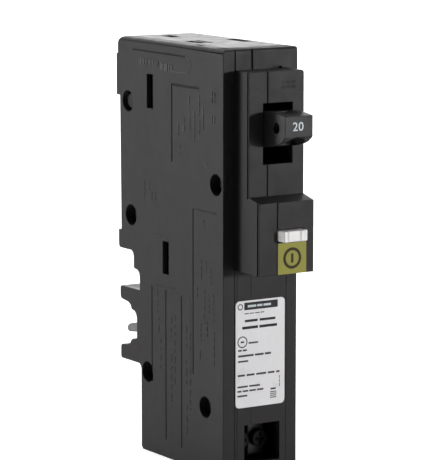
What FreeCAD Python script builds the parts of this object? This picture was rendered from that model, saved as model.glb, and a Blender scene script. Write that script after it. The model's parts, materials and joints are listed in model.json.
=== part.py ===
import FreeCAD, Part
import math
import os
import Sketcher

# Plug-on circuit breaker, one panel space wide: a three-layer riveted case with a handle, a test
# button, the switching and trip parts, a circuit board and the load and neutral terminals.
#
# Frame: +Z runs from the load end (terminals) to the line end, -Y is the front (handle side)
# and X is the width, left negative.  The origin is the centre of the flat load-end face.
# Millimetres.

os.makedirs("parts", exist_ok=True)
doc = FreeCAD.newDocument("plug_on_breaker")
Vector = FreeCAD.Vector
Rotation = FreeCAD.Rotation
Placement = FreeCAD.Placement
sheet = doc.addObject("Spreadsheet::Sheet", "Dims")
aliases = []    # one per sheet row
pending = []    # aliases the sheet has not computed yet
nodes = []      # (label, object) of every exported piece


# ------------------------------- driving sizes as expressions -------------------------------

class Size:
    """A size that carries its value and the sheet expression it comes from."""

    def __init__(self, value, formula):
        self.value = float(value)
        self.formula = formula

    def __add__(self, other):
        other = as_size(other)
        return Size(self.value + other.value, f"({self.formula} + {other.formula})")

    __radd__ = __add__

    def __sub__(self, other):
        other = as_size(other)
        return Size(self.value - other.value, f"({self.formula} - {other.formula})")

    def __rsub__(self, other):
        return as_size(other) - self

    def __mul__(self, factor):
        return Size(self.value * factor, f"({self.formula} * ({factor:.6f}))")

    __rmul__ = __mul__

    def __neg__(self):
        return self * -1


def as_size(number):
    return number if isinstance(number, Size) else Size(number, f"({number:.5f})")


def cell(name, value):
    """Add a driving size to the sheet."""
    aliases.append(name)
    row = len(aliases)
    sheet.set(f"A{row}", name)
    sheet.set(f"B{row}", f"{value:.5f}")
    sheet.setAlias(f"B{row}", name)
    pending.append(name)
    return Size(value, "Dims." + name)


def bind(obj, prop, size):
    """Drive a property by a size; new cells must be computed before an expression reads them."""
    if pending:
        sheet.recompute()
        sheet.purgeTouched()
        pending.clear()
    obj.setExpression(prop, as_size(size).formula)


def node(obj, label):
    """Mark an object as an exported piece."""
    obj.Label = label
    nodes.append((label, obj))
    return obj


def about(middle, half):
    """The span that reaches half to each side of middle."""
    return (middle - half, middle + half)


# ---------------------------------- primitives and booleans ---------------------------------

ROD_TURN = {"X": Rotation(Vector(0, 1, 0), 90), "Y": Rotation(Vector(1, 0, 0), -90),
            "Z": Rotation()}


def move_to(obj, corner):
    for axis, position in zip("xyz", corner):
        bind(obj, "Placement.Base." + axis, position)


def box(*spans):
    """Block from its (low, high) spans along X, Y and Z."""
    block = doc.addObject("Part::Box", "block")
    for prop, (low, high) in zip(("Length", "Width", "Height"), spans):
        bind(block, prop, as_size(high) - low)
    move_to(block, [low for low, high in spans])
    return block


def rod(axis, center, low, high, radius):
    """Cylinder along an axis; center holds the other two coordinates in X, Y, Z order."""
    cylinder = doc.addObject("Part::Cylinder", "rod")
    bind(cylinder, "Radius", radius)
    bind(cylinder, "Height", as_size(high) - low)
    cylinder.Placement = Placement(Vector(0, 0, 0), ROD_TURN[axis])
    position = list(center)
    position.insert("XYZ".index(axis), low)
    move_to(cylinder, position)
    return cylinder


def fuse(items):
    if len(items) == 1:
        return items[0]
    union = doc.addObject("Part::MultiFuse", "union")
    union.Shapes = list(items)
    return union


def cut(base, *tools):
    trimmed = doc.addObject("Part::Cut", "trimmed")
    trimmed.Base = base
    trimmed.Tool = fuse(tools)
    return trimmed


def group(items):
    compound = doc.addObject("Part::Compound", "group")
    compound.Links = list(items)
    return compound


def round_y_edges(solid, radius):
    """Round the edges that run along Y."""
    doc.recompute()
    fillet = doc.addObject("Part::Fillet", "rounded")
    fillet.Base = solid
    picks = []
    for number, edge in enumerate(solid.Shape.Edges, 1):
        step = edge.Vertexes[0].Point - edge.Vertexes[-1].Point
        if abs(step.x) < 1e-6 and abs(step.z) < 1e-6 and abs(step.y) > 1e-6:
            picks.append((number, radius, radius))
    fillet.Edges = picks
    return fillet


# ------------------------------------ PartDesign bodies -------------------------------------
# A loop is a list of corner points or a circle tuple (u, v, radius).  Its (u, v) are
# (Y, Z) in plane "YZ", (X, Z) in plane "XZ" and (X, Y) in plane "XY".

def rect(u0, v0, u1, v1):
    return [(u0, v0), (u1, v0), (u1, v1), (u0, v1)]


def circle(u, v, radius):
    return (u, v, radius)


def mirrored(middle, half_outline):
    """Close a right-hand half outline with its mirror image about u = middle."""
    right = [(middle + u, v) for u, v in half_outline]
    left = [(middle - u, v) for u, v in reversed(half_outline)]
    return right + left


def fix(sketch, size, kind, *geometry):
    """Add a dimension to a sketch and drive it by a size."""
    number = sketch.addConstraint(Sketcher.Constraint(kind, *geometry, size.value))
    bind(sketch, f"Constraints[{number}]", size)


def draw_circle(sketch, u, v, radius):
    shape = Part.Circle(Vector(u.value, v.value, 0), Vector(0, 0, 1), radius.value)
    ring = sketch.addGeometry(shape, False)
    fix(sketch, u, "DistanceX", -1, 1, ring, 3)
    fix(sketch, v, "DistanceY", -1, 1, ring, 3)
    fix(sketch, radius, "Radius", ring)


def draw_polygon(sketch, points):
    corners = [Vector(u.value, v.value, 0) for u, v in points]
    sides = [sketch.addGeometry(Part.LineSegment(start, end), False)
             for start, end in zip(corners, corners[1:] + corners[:1])]
    for side, following in zip(sides, sides[1:] + sides[:1]):
        sketch.addConstraint(Sketcher.Constraint("Coincident", side, 2, following, 1))
    for side, (u, v) in zip(sides, points):
        fix(sketch, u, "DistanceX", -1, 1, side, 1)
        fix(sketch, v, "DistanceY", -1, 1, side, 1)


class PrismBody:
    """An exported PartDesign body grown from prisms on its own origin planes."""

    def __init__(self, label):
        self.body = node(doc.addObject("PartDesign::Body", "body_" + label), label)
        self.label = label
        self.count = 0
        self.volume = 0.0

    def sketch(self, plane, offset, loops):
        sketch = self.body.newObject("Sketcher::SketchObject",
                                     f"{self.label}_sk{self.count:02d}")
        support = next(feature for feature in self.body.Origin.OriginFeatures
                       if feature.Role == plane + "_Plane")
        sketch.AttachmentSupport = [(support, "")]
        sketch.MapMode = "FlatFace"
        sketch.AttachmentOffset = Placement(Vector(0, 0, offset.value), Rotation())
        bind(sketch, "AttachmentOffset.Base.z", offset)
        for loop in loops:
            if isinstance(loop, tuple):
                draw_circle(sketch, *[as_size(number) for number in loop])
            else:
                draw_polygon(sketch, [(as_size(u), as_size(v)) for u, v in loop])
        return sketch

    def prism(self, kind, plane, low, high, loops):
        """Fill or cut the loops from low to high along the plane's normal axis."""
        low, high = as_size(low), as_size(high)
        self.count += 1
        # The XZ plane faces -Y, so its prism starts at the high side.
        sketch = self.sketch(plane, -high if plane == "XZ" else low, loops)
        name = f"{self.label}_{kind}{self.count:02d}"
        feature = self.body.newObject("PartDesign::" + kind, name)
        feature.Profile = sketch
        if kind == "Pocket":
            feature.Reversed = True
        bind(feature, "Length", high - low)
        doc.recompute()
        before, self.volume = self.volume, self.body.Shape.Volume
        gain = self.volume - before
        if not (gain if kind == "Pad" else -gain) > 1e-6:
            raise RuntimeError("prism changes nothing: " + name)

    def pad(self, plane, low, high, *loops):
        self.prism("Pad", plane, low, high, loops)

    def pocket(self, plane, low, high, *loops):
        self.prism("Pocket", plane, low, high, loops)


# --------------------------------- round wires and springs ----------------------------------
# Plain Part shapes, because their paths are not planar.

def swept_wire(points, radius):
    """Solid round wire along a smooth curve through the points."""
    curve = Part.BSplineCurve()
    curve.interpolate(points)
    tangent = curve.tangent(curve.FirstParameter)[0]
    ring = Part.Wire([Part.makeCircle(radius, points[0], tangent)])
    pipe = Part.Wire([curve.toShape()]).makePipeShell([ring], True, True)
    # The pipe shell may come back as a shell only.
    return pipe.Solids[0] if pipe.Solids else Part.Solid(pipe.Shells[0])


def wires(label, paths, radius):
    solids = [swept_wire([Vector(*point) for point in path], radius) for path in paths]
    feature = doc.addObject("Part::Feature", "wire_" + label)
    feature.Shape = solids[0] if len(solids) == 1 else Part.makeCompound(solids)
    node(feature, label)


def spring(label, axis, center, low, high, radius, turns, wire_r):
    """Coil spring along X or Z between low and high; radius is that of the wire's centre."""
    rise = (high - low) - 2 * wire_r
    steps = int(round(turns * 24))
    points = []
    for i in range(steps + 1):
        angle = 2.0 * math.pi * turns * i / steps
        points.append(Vector(radius * math.cos(angle), radius * math.sin(angle),
                             rise * i / steps))
    feature = doc.addObject("Part::Feature", "spring_" + label)
    feature.Shape = swept_wire(points, wire_r)
    position = [size.value for size in center]
    position.insert("XYZ".index(axis), low + wire_r)
    feature.Placement = Placement(Vector(*position), ROD_TURN[axis])
    return node(feature, label)


# ----------------------------------- shared driving sizes -----------------------------------

case_wide = cell("case_wide", 25.4)        # one panel space
case_tall = cell("case_tall", 124.6)
left_x = case_wide * -0.5
right_x = case_wide * 0.5
face_y = cell("face_y", -23.0)             # main front plane
heel_y = cell("heel_y", 23.0)              # back plane at the load end
foot_tip = cell("foot_tip", 35.3)
pad_back = cell("pad_back", 37.0)
back_mid = cell("back_mid", 34.7)
back_top = cell("back_top", 36.2)

seam_cover = cell("seam_cover", -8.7)      # left cover to centre case
seam_base = cell("seam_base", -3.1)        # centre case to right base
seam_nose = cell("seam_nose", -2.5)        # the same seam over the nose
nose_left = cell("nose_left", -8.63)
nose_right = cell("nose_right", 10.06)
nose_y = cell("nose_y", -30.29)
nose_top = cell("nose_top", 118.5)
nose_low = cell("nose_low", 82.8)
block_y = cell("block_y", -35.57)          # block below the nose
block_top = cell("block_top", 81.5)
block_low = cell("block_low", 60.7)

skin = cell("skin", 1.8)                   # front walls
thick_wall = cell("thick_wall", 2.0)       # load-end and heel walls
cheek = cell("cheek", 1.6)                 # side plates
web_left = cell("web_left", -5.6)          # partition in the centre case
web_right = cell("web_right", -4.2)
in_front = face_y + skin
in_heel = heel_y - thick_wall
in_top = case_tall - 2.2
in_left = left_x + cheek
in_right = right_x - cheek
overlap = 0.2                              # prisms run this far into each other

rivet_r = cell("rivet_r", 1.6)
rivet_hole = rivet_r + 0.1
sink_r = cell("sink_r", 3.11)              # counterbore over each rivet
sink_deep = cell("sink_deep", 3.25)
boss_r = cell("boss_r", 3.95)
post_y = cell("post_y", 30.2)              # round post on the left of the partition
post_z = cell("post_z", 105.4)
edge_r = cell("top_edge_r", 1.6)           # rounded upper corners
notch_floor = case_tall - 1.2              # notches in the line-end face

window_low = cell("window_low", 91.91)     # handle window
window_top = cell("window_top", 109.42)
tw_low = cell("tw_low", 3.4)               # terminal window
tw_top = cell("tw_top", 14.8)
wire_y = cell("wire_y", -7.5)              # terminal wires, along Z
wire_x_load = cell("wire_x_load", 4.1)
wire_x_neut = cell("wire_x_neut", -2.5)
entry_r = cell("entry_r", 3.0)

line_x = cell("line_mid_x", 1.15)          # middle of the line-side parts
trip_x = cell("trip_mid_x", 2.7)           # middle of the magnet and bimetal
coil_wire = cell("coil_wire", 0.25)        # wire radius of the pivot springs

hub_y = cell("hub_y", -16.0)               # handle pivot
hub_z = cell("hub_z", 100.75)
arm_y = cell("arm_y", -4.0)                # contact arm pivot
arm_z = cell("arm_z", 82.0)
cradle_y = cell("cradle_y", 12.0)          # trip cradle pivot
cradle_z = cell("cradle_z", 74.0)
arma_y = cell("arma_y", -18.6)             # armature pivot
arma_z = cell("arma_z", 70.5)
pin_r = cell("pin_r", 1.5)
arma_pin = cell("arma_pin", 1.2)
pin_play = cell("pin_play", 0.05)          # between a pin or screw and its bore
pin_bore = pin_r + pin_play
arma_bore = arma_pin + pin_play

# label, Y, Z, radius
PINS = (("handle_pin", hub_y, hub_z, pin_r),
        ("arm_pin", arm_y, arm_z, pin_r),
        ("cradle_pin", cradle_y, cradle_z, pin_r),
        ("armature_pin", arma_y, arma_z, arma_pin))
PIN_BORES = [circle(y, z, radius + pin_play) for label, y, z, radius in PINS]

# Y, Z
RIVETS = [(cell(f"rivet_y_{i}", y), cell(f"rivet_z_{i}", z)) for i, (y, z) in enumerate(
    ((-19.09, 85.44), (28.64, 70.97), (19.21, 24.31), (-13.31, 19.33)), 1)]

# The contact arm is drawn closed, then turned open (degrees) about its own pin.
ARM_OPEN = 8.4
arm_turn = Placement(Vector(0, arm_y.value, arm_z.value),
                     Rotation(Vector(1, 0, 0), ARM_OPEN)).multiply(
    Placement(Vector(0, -arm_y.value, -arm_z.value), Rotation()))


# -------------------------------------- case profiles ---------------------------------------

# Side outline of all three case layers, (Y, Z): up the back, down the front.
OUTLINE = [
    (face_y, 0), (heel_y - 0.8, 0), (heel_y, 0.8), (heel_y, 24.6), (heel_y + 0.35, 25.6),
    (heel_y + 1.2, 26.1), (foot_tip - 0.8, 26.1), (foot_tip - 0.3, 26.4),
    (foot_tip - 0.2, 27.0), (foot_tip - 0.2, 29.7), (foot_tip - 0.6, 30.4),
    (31.3, 30.85), (29.6, 31.5), (28.9, 32.6), (28.2, 33.05), (26.0, 33.35), (25.6, 33.9),
    (25.6, 39.6), (26.0, 40.9), (26.9, 41.7), (28.7, 42.1), (29.2, 43.2), (30.6, 44.0),
    (foot_tip - 0.9, 44.5), (foot_tip - 0.2, 44.9), (foot_tip, 45.6), (foot_tip, 47.9),
    (foot_tip - 0.3, 48.4), (foot_tip - 0.9, 48.6),
    (23.8, 48.6), (23.8, 52.6), (24.2, 53.9), (25.2, 54.6), (27.0, 54.8), (27.3, 55.2),
    (27.3, 58.4), (27.7, 59.6), (28.7, 60.2),
    (foot_tip - 0.2, 60.2), (foot_tip + 0.5, 60.5), (foot_tip + 0.8, 61.2),
    (foot_tip + 0.8, 65.8), (back_mid - 0.2, 65.8), (back_mid + 0.3, 106.8),
    (pad_back, 106.8), (pad_back, 119.4), (back_top, 119.4), (back_top, case_tall - 2.2),
    (back_top - 0.5, case_tall - 1.0), (back_top - 1.4, case_tall - 0.25),
    (back_top - 2.6, case_tall), (face_y + 0.9, case_tall),
    (face_y + 0.42, case_tall - 0.11), (face_y + 0.11, case_tall - 0.42),
    (face_y, case_tall - 0.9)]


def cavity(floor):
    """Inside of a case layer, (Y, Z), above its floor."""
    return [(in_front, floor), (in_heel, floor), (in_heel, 57.0), (24.6, 62.2),
            (32.4, 68.0), (32.4, in_top), (in_front, in_top)]


CAVITY = cavity(thick_wall)
CAVITY_LEFT = cavity(19.5)

# Nose with the block below it, outside and inside, (Y, Z).
NOSE = [(face_y, block_low), (face_y, nose_top), (nose_y, nose_top), (nose_y, nose_low),
        (block_y, block_top), (block_y, block_low)]
NOSE_IN = [(in_front + 1.2, block_low + skin), (block_y + skin, block_low + skin),
           (block_y + skin, block_top - 1.5), (nose_y + skin, nose_low - 1.5),
           (nose_y + skin, nose_top - skin), (in_front + 1.2, nose_top - skin)]

# Opening through the heel wall for the neutral clip, (Y, Z).
CLIP_OPENING = rect(in_heel - 0.5, 34.0, 26.2, 39.0)


def at_rivets(radius):
    return [circle(y, z, radius) for y, z in RIVETS]


def corner(x, z, radius, side):
    """(X, Z) loop that rounds off the upper corner at (x, z); side -1 left, +1 right."""
    points = [(x + side * 1.0, z + 1.0), (x + side * 1.0, z - radius), (x, z - radius)]
    for i in range(1, 6):
        angle = math.radians(18.0 * i)
        points.append((x - side * radius * (1.0 - math.cos(angle)),
                       z - radius * (1.0 - math.sin(angle))))
    points.append((x - side * radius, z + 1.0))
    return points


# ------------------------------------------- case -------------------------------------------

def left_cover():
    cover = PrismBody("left_cover")
    cover.pad("YZ", left_x, seam_cover, OUTLINE)
    cover.pocket("YZ", in_left, seam_cover, CAVITY_LEFT)
    cover.pad("YZ", in_left - overlap, seam_cover, *at_rivets(boss_r))
    cover.pocket("YZ", left_x, left_x + sink_deep, *at_rivets(sink_r))
    cover.pocket("YZ", left_x + sink_deep - overlap, seam_cover, *at_rivets(rivet_hole))
    # round hole over the post and two slots through the side plate
    cover.pocket("YZ", left_x, in_left, circle(post_y, post_z, sink_r),
                 rect(15.8, 104.3, 19.2, 114.4), rect(7.0, 55.6, 10.3, 65.4))
    cover.pocket("YZ", in_left, seam_cover, CLIP_OPENING)

    # grooves in the outer face
    groove = cell("groove_deep", 0.3)
    half = cell("groove_half", 0.22)
    bend_y, bend_z = 5.0, 112.5
    long_y = -6.8
    step_y, step_z = -7.3, 77.0
    edge_y = 17.0
    cover.pocket(
        "YZ", left_x, left_x + groove,
        [(bend_y - half, 89.6), (bend_y + half, 89.6), (bend_y + half, bend_z + half),
         (-10.0, bend_z + half), (-10.0, bend_z - half), (bend_y - half, bend_z - half)],
        [(long_y - half, 28.1), (long_y + half, 28.1), (long_y + half, step_z),
         (step_y, step_z + half), (step_y, step_z), (long_y - half, 76.6)],
        rect(edge_y - half * 3.0, 22.3, edge_y - half, 51.1),
        rect(8.6 - half, 5.4, 8.6 + half, 50.9),
        rect(-0.3 - half, 4.6, -0.3 + half, 50.4),
        rect(-2.5, 121.0, 27.5, 121.0 + half))
    # two fainter lines
    cover.pocket("YZ", left_x, left_x + 0.15, rect(-19.4, step_z, step_y, step_z + half))
    cover.pocket("YZ", left_x, left_x + 0.12,
                 [(16.5, 21.9), (14.4, 21.0), (14.4, 21.2), (16.5, 22.1)])

    cover.pocket("XY", notch_floor, case_tall, rect(-10.4, -8.0, -9.2, -4.0))
    cover.pocket("XZ", face_y, pad_back, corner(left_x, case_tall, edge_r, -1))


def center_case():
    web_low = cell("web_low", -6.0)        # partition steps left at the terminals
    term_roof = cell("term_roof", 17.5)
    post_r = cell("post_r", 2.15)
    window_left = cell("window_left", -3.86)
    tw_left = cell("tw_left", -5.3)

    case = PrismBody("center_case")
    case.pad("YZ", seam_cover, seam_base, OUTLINE)
    case.pad("YZ", nose_left, seam_nose, NOSE)
    case.pocket("YZ", web_right, seam_base, CAVITY)
    case.pocket("YZ", web_right, seam_nose, NOSE_IN)
    case.pocket("YZ", web_low, seam_base, rect(in_front, thick_wall, in_heel, term_roof))
    case.pocket("YZ", seam_cover, web_left, CAVITY_LEFT)
    case.pad("YZ", seam_cover, seam_base, *at_rivets(boss_r))
    case.pad("YZ", left_x + 1.3, web_left + overlap, circle(post_y, post_z, post_r))
    case.pocket("YZ", seam_cover, seam_base, *at_rivets(rivet_hole))
    # partition: pin bores, sensor lead hole, neutral clip slot, test contact slot
    case.pocket("YZ", web_left, web_right, *PIN_BORES, circle(-12.0, 32.0, 1.7),
                rect(17.0, 30.8, 18.4, 38.2), rect(-21.0, 72.2, -19.9, 74.6))
    case.pocket("YZ", seam_cover, web_left + 0.8, CLIP_OPENING)
    # handle window, terminal window, neutral wire entry
    case.pocket("XZ", nose_y, nose_y + skin,
                rect(window_left, window_low, seam_nose, window_top))
    case.pocket("XZ", face_y, in_front, rect(tw_left, tw_low, seam_base, tw_top))
    case.pocket("XY", 0, thick_wall, circle(wire_x_neut, wire_y, entry_r))
    # shadow lines down the left flank of the nose and block, just behind their fronts
    flank = nose_left + 0.7
    case.pocket("XZ", nose_y + 0.4, nose_y + 0.95,
                rect(nose_left, nose_low - 0.5, flank, nose_top))
    case.pocket("XZ", block_y + 0.4, block_y + 0.95,
                rect(nose_left, block_low, flank, block_top + 0.2))
    # lines on the main front face, below and above the nose
    case.pocket("XZ", face_y, face_y + 0.08, rect(-8.02, 0, -7.82, block_low))
    case.pocket("XZ", face_y, face_y + 0.3,
                rect(seam_cover, nose_top, seam_cover + 0.22, case_tall))
    case.pocket("XY", notch_floor, case_tall, rect(-6.7, -1.0, -3.9, 8.0))


def right_base():
    window_right = cell("window_right", 6.18)
    tw_right = cell("tw_right", 6.9)
    boss_x = cell("pin_boss_x", 8.1)       # left ends of the pin bosses
    stab_left, stab_right = about(line_x, cell("stab_slot_half", 2.55))

    base = PrismBody("right_base")
    base.pad("YZ", seam_base, right_x, OUTLINE)
    base.pad("YZ", seam_nose, nose_right, NOSE)
    base.pocket("YZ", seam_base, in_right, CAVITY)
    base.pocket("YZ", seam_base, nose_right - 1.56, NOSE_IN)
    base.pad("YZ", seam_base, in_right + overlap, *at_rivets(boss_r))
    base.pad("YZ", boss_x, in_right + overlap,
             *[circle(y, z, radius * 2.0) for label, y, z, radius in PINS])
    base.pocket("YZ", right_x - sink_deep, right_x, *at_rivets(sink_r))
    base.pocket("YZ", seam_base, right_x - sink_deep + overlap, *at_rivets(rivet_hole))
    base.pocket("YZ", boss_x, in_right, *PIN_BORES)
    # handle window, test button window, terminal window
    base.pocket("XZ", nose_y, nose_y + skin,
                rect(seam_nose, window_low, window_right, window_top))
    base.pocket("XZ", block_y, block_y + skin, rect(seam_nose, 70.05, 6.8, 73.65))
    base.pocket("XZ", face_y, in_front, rect(seam_base, tw_low, tw_right, tw_top))
    # stab slot in the back, wire entries in the load end
    base.pocket("XZ", 32.0, 36.0, rect(stab_left, 78.0, stab_right, 98.0))
    base.pocket("XY", 0, thick_wall, circle(wire_x_neut, wire_y, entry_r),
                circle(wire_x_load, wire_y, entry_r))

    # shadow lines along the seam: front plane, depth, low Z, top Z, width
    for front, deep, low, top, wide in ((nose_y, 0.45, window_top, nose_top, 0.35),
                                        (nose_y, 0.25, nose_low, window_low, 0.3),
                                        (block_y, 0.25, 73.65, block_top, 0.3)):
        base.pocket("XZ", front, front + deep, rect(seam_nose, low, seam_nose + wide, top))
    base.pocket("XZ", face_y, face_y + 0.5,
                rect(seam_base, nose_top, seam_base + 0.45, case_tall))
    # line beside the terminal window, slit over the top of the nose
    base.pocket("XZ", face_y, face_y + 0.08, rect(8.98, 0, 9.18, block_low))
    base.pocket("XZ", face_y, face_y + 1.0, rect(3.8, nose_top, 7.4, nose_top + 0.5))
    base.pocket("XY", notch_floor, case_tall, rect(-2.2, 22.0, 1.3, 29.0),
                rect(7.3, -3.0, 10.8, 7.0), rect(-3.1, -1.0, -1.6, 8.0))
    base.pocket("XZ", face_y, pad_back, corner(right_x, case_tall, edge_r * 0.5, 1))
    base.pocket("XZ", nose_y, face_y, corner(nose_right, nose_top, edge_r * 0.6, 1))


def case_rivets():
    """Four through rivets with a blind hole in each head, recessed in the counterbores."""
    head_r = cell("rivet_head_r", 2.3)
    head_t = cell("rivet_head_t", 0.55)
    hole_r, hole_deep = 0.9, 1.6
    left, right = left_x + sink_deep, right_x - sink_deep
    left_end, right_end = left - head_t, right + head_t
    rivets = []
    for place in RIVETS:
        rivet = fuse([rod("X", place, left, right, rivet_r),
                      rod("X", place, left_end, left, head_r),
                      rod("X", place, right, right_end, head_r)])
        rivets.append(cut(rivet, rod("X", place, left_end, left_end + hole_deep, hole_r),
                          rod("X", place, right_end - hole_deep, right_end, hole_r)))
    node(group(rivets), "case_rivets")


def labels():
    """Thin plates on the main front face and on the block."""
    label_t = cell("label_thick", 0.15)
    rating = box((-8.43, 8.57), (face_y - label_t, face_y), (20.15, 51.65))
    node(round_y_edges(rating, 1.3), "rating_label")
    test = box((-2.2, 7.5), (block_y - label_t, block_y), (block_low + 0.05, 69.75))
    node(round_y_edges(test, 0.3), "test_label")


# ------------------------------------- handle and pins --------------------------------------

def handle():
    """Lever through the nose window, with a hub and two legs behind it."""
    lever_left = cell("lever_left", -3.6)
    lever_right = cell("lever_right", 5.9)
    tip_y = cell("tip_y", -41.1)
    tip_top = cell("tip_top", 106.6)
    tip_low = cell("tip_low", 100.5)
    fork_left = cell("fork_left", -2.9)
    fork_right = cell("fork_right", 5.2)
    hub_r = cell("hub_r", 6.0)
    tie_y = cell("tie_y", -36.5)           # cross hole through the lever
    tie_z = cell("tie_z", 103.0)
    tie_r = cell("tie_r", 1.6)
    mid_x = (lever_left + lever_right) * 0.5
    leg_t = 1.5
    low_scoop_r, top_scoop_r = 4.75, 10.0
    # (Y, Z)
    lever = [
        (tip_y, tip_top), (tip_y, tip_low), (tip_y + 0.9, tip_low - 0.75),
        (tip_y + 1.9, tip_low - 1.45), (tip_y + 2.9, tip_low - 1.95),
        (tip_y + 4.0, tip_low - 2.3), (tip_y + 5.7, tip_low - 2.75),
        (tip_y + 7.4, tip_low - 3.15), (-28.0, 96.8), (-22.4, 96.6), (-22.4, 106.0),
        (-28.0, 107.1), (tip_y + 6.2, tip_top + 0.65), (tip_y + 4.7, tip_top + 0.6),
        (tip_y + 3.3, tip_top + 0.5), (tip_y + 1.6, tip_top + 0.25)]
    neck = [(-23.4, 97.0), (-23.4, 105.8), (hub_y, hub_z + 5.9), (hub_y, hub_z - 5.9)]
    leg = [(-18.5, 97.0), (-7.4, 89.6), (-4.8, 92.6), (-11.8, 103.4)]

    body = PrismBody("handle")
    body.pad("YZ", lever_left, lever_right, lever)
    body.pad("YZ", fork_left, fork_right, neck)
    body.pad("YZ", fork_left, fork_right, circle(hub_y, hub_z, hub_r))
    body.pad("YZ", fork_left, fork_left + leg_t, leg)
    body.pad("YZ", fork_right - leg_t, fork_right, leg)
    # round scoops under and over the lever
    body.pocket("XZ", tip_y + 0.05, -32.0,
                circle(mid_x, tip_low - low_scoop_r, low_scoop_r),
                circle(mid_x, tip_top + top_scoop_r, top_scoop_r))
    body.pocket("YZ", lever_left, lever_right, circle(tie_y, tie_z, tie_r))
    body.pocket("YZ", fork_left, fork_right, circle(hub_y, hub_z, pin_bore))


def pins():
    end_gap = 0.2
    for label, y, z, radius in PINS:
        node(rod("X", (y, z), web_left + end_gap, in_right - end_gap, radius), label)


# ------------------------------------- line-side parts --------------------------------------

def contacts():
    """Contact arm, the contact it carries and the fixed contact it meets."""
    hub = about(line_x, 3.15)
    arm = PrismBody("contact_arm")
    arm.pad("YZ", *about(line_x, 0.8), [
        (-6.8, 80.2), (-1.6, 79.4), (1.2, 84.5), (7.9, 98.5), (7.9, 108.2),
        (4.6, 108.2), (4.6, 100.2), (-2.0, 88.0), (-6.8, 84.5)])
    arm.pad("YZ", *hub, circle(arm_y, arm_z, 2.6))
    arm.pocket("YZ", *hub, circle(arm_y, arm_z, pin_bore))
    arm.body.Placement = arm_turn

    moving = PrismBody("moving_contact")
    moving.pad("YZ", *about(line_x, 2.0), rect(7.9, 102.6, 9.55, 107.4))
    moving.body.Placement = arm_turn

    # with a shallow nick along its lower front edge
    fixed = box(about(line_x, 2.0), (9.65, 11.2), (102.5, 107.5))
    nick = box(about(line_x, 2.15), (9.6, 9.7), (102.4, 102.7))
    node(cut(fixed, nick), "fixed_contact")


def line_strap():
    left, right = about(line_x, 3.0)
    strap = PrismBody("line_strap")
    strap.pad("XZ", 11.2, 12.8, rect(left, 88.0, right, 108.3))
    strap.pad("XY", 88.0, 89.6, rect(left, 12.4, right, 19.0))


def line_jaw():
    """U-shaped jaw with flared lips, open to the back, and the spring clip around it."""
    jaw_t = cell("jaw_thick", 1.2)
    gap = cell("jaw_half_gap", 1.2)
    outer = gap + jaw_t
    jaw = PrismBody("line_jaw")
    jaw.pad("XY", 79.0, 97.0, mirrored(line_x, [
        (outer, 19.0), (outer, 30.5), (outer + 0.7, 32.2),
        (gap + 0.75, 32.2), (gap, 30.5), (gap, 20.4)]))

    inside = outer + 0.05
    outside = inside + 0.9
    clip = PrismBody("jaw_spring")
    clip.pad("XY", 80.0, 86.8, mirrored(line_x, [
        (outside, 17.9), (outside, 29.5), (inside, 29.5), (inside, 18.95)]))


def arc_chute():
    """Five slotted plates stacked along Z between two side walls."""
    plate_t, pitch = 0.85, 1.95
    plates = []
    for i in range(5):
        low = cell(f"arc_plate_z_{i + 1}", 112.0 + pitch * i)
        plate = box(about(line_x, 3.5), (-1.0, 14.0), (low, low + plate_t))
        slot = box(about(line_x, 0.95), (-1.5, 6.5), (low - 0.5, low + 1.5))
        plates.append(cut(plate, slot))
    node(group(plates), "arc_plates")

    near, far = 3.55, 4.45
    node(group([box(span, (-1.6, 14.6), (111.4, 121.6))
                for span in ((line_x - far, line_x - near), (line_x + near, line_x + far))]),
         "arc_side_walls")


# ---------------------------------------- trip parts ----------------------------------------

def trip_cradle():
    cradle = PrismBody("trip_cradle")
    cradle.pad("YZ", 5.0, 6.4, [
        (9.6, 76.9), (14.6, 77.2), (15.2, 71.6), (9.6, 70.3), (-6.0, 65.4),
        (-13.4, 63.8), (-14.2, 65.0), (-14.2, 67.2), (-7.0, 69.6)])
    cradle.pad("YZ", 4.6, 7.9, circle(cradle_y, cradle_z, 2.5))
    cradle.pocket("YZ", 4.6, 7.9, circle(cradle_y, cradle_z, pin_bore))


def armature():
    left, right = -1.0, 6.6
    plate_y = about(arma_y, 0.6)
    plate = PrismBody("armature")
    plate.pad("XZ", *plate_y, rect(left, 44.0, right, 69.6))
    plate.pad("YZ", left, right, circle(arma_y, arma_z, 2.0))
    plate.pocket("YZ", left, right, circle(arma_y, arma_z, arma_bore))
    plate.pocket("XZ", *plate_y, rect(4.6, 62.6, 6.8, 68.2))


def magnet_and_bimetal():
    """U-shaped yoke open to the front and the shouldered strip between its legs."""
    yoke = PrismBody("magnet_yoke")
    yoke.pad("XY", 45.0, 56.0, mirrored(trip_x, [
        (4.3, -9.0), (4.3, -15.4), (3.1, -15.4), (3.1, -10.4)]))
    strip = PrismBody("bimetal")
    strip.pad("XZ", -12.6, -11.4, mirrored(trip_x, [
        (2.1, 35.2), (2.1, 58.0), (1.1, 60.0), (1.1, 64.0)]))


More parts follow.
